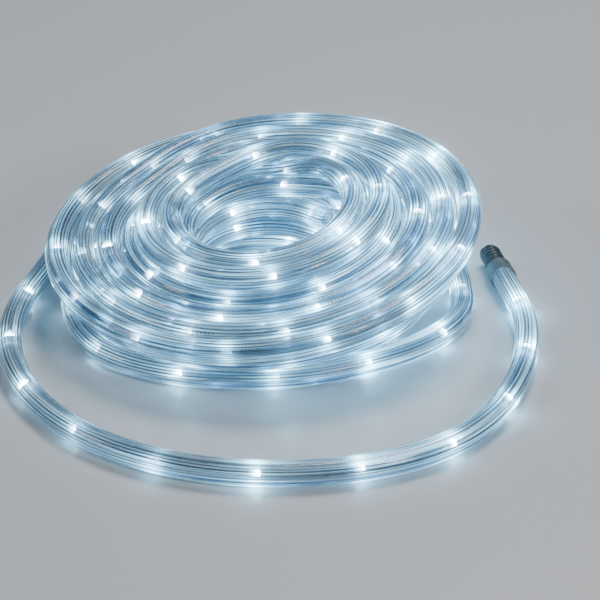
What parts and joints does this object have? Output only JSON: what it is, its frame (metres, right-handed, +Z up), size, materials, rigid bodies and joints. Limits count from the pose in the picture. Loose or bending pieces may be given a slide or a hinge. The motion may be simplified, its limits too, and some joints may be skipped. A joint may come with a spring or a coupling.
{
  "type": "led rope light",
  "caption": "Clear ribbed rope light wound in a low leaning coil, its last turn loose and its tail laid round the front to a screw connector.",
  "frame": {"origin": "centre of the part's outline seen from above, on the surface that it lies on", "axes": "+Z up, -Y towards the tail laid round the front, +X towards the screw connector"},
  "size_m": [0.223, 0.2492, 0.0559],
  "materials": {
    "clear_rope": "clear ribbed PVC, lit from inside by white LEDs",
    "grey_sleeve": "translucent grey shrink sleeve",
    "black_plastic": "satin black moulding",
    "pin_metal": "plated contact",
    "clear_cap": "clear moulded cap"
  },
  "bodies": {
    "root": {"rope_coil": "clear_rope", "rope_loose_run": "clear_rope", "rope_far_end": "clear_rope", "end_sleeve": "grey_sleeve", "screw_connector": "black_plastic", "contact_pin_a": "pin_metal", "contact_pin_b": "pin_metal", "end_cap": "clear_cap"}
  },
  "joints": []
}
